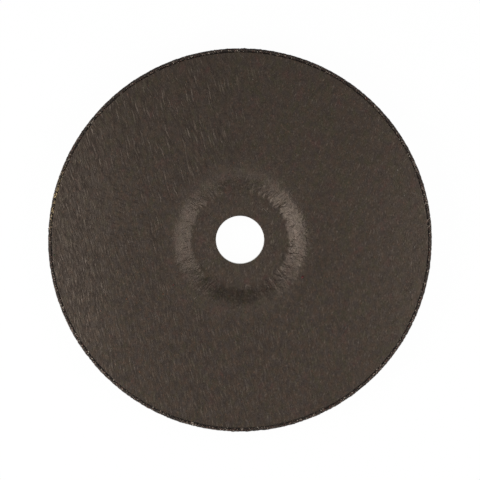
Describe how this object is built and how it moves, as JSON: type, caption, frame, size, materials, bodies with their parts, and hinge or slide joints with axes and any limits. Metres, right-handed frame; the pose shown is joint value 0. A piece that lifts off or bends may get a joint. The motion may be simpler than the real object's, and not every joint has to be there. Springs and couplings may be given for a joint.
{
  "type": "grinding disc",
  "caption": "Depressed-centre resin-bonded grinding disc with a dark fibre cover sheet, a recessed hub and a round spindle hole.",
  "frame": {"origin": "centre of the flat of the raised hub on the underside, on which the disc rests", "axes": "+Z along the disc's axis, out of the recess; X and Y in the plane of the disc"},
  "size_m": [0.1778, 0.1778, 0.0106],
  "materials": {
    "abrasive": "coarse dark abrasive grain in resin, matte and gritty",
    "fibre_sheet": "resin-soaked brown-grey fibre paper, creased, matte with a slight sheen",
    "ring_steel": "thin pressed steel, dull"
  },
  "bodies": {
    "root": {"abrasive_body": "abrasive", "cover_sheet": "fibre_sheet", "bore_ring": "ring_steel"}
  },
  "joints": []
}
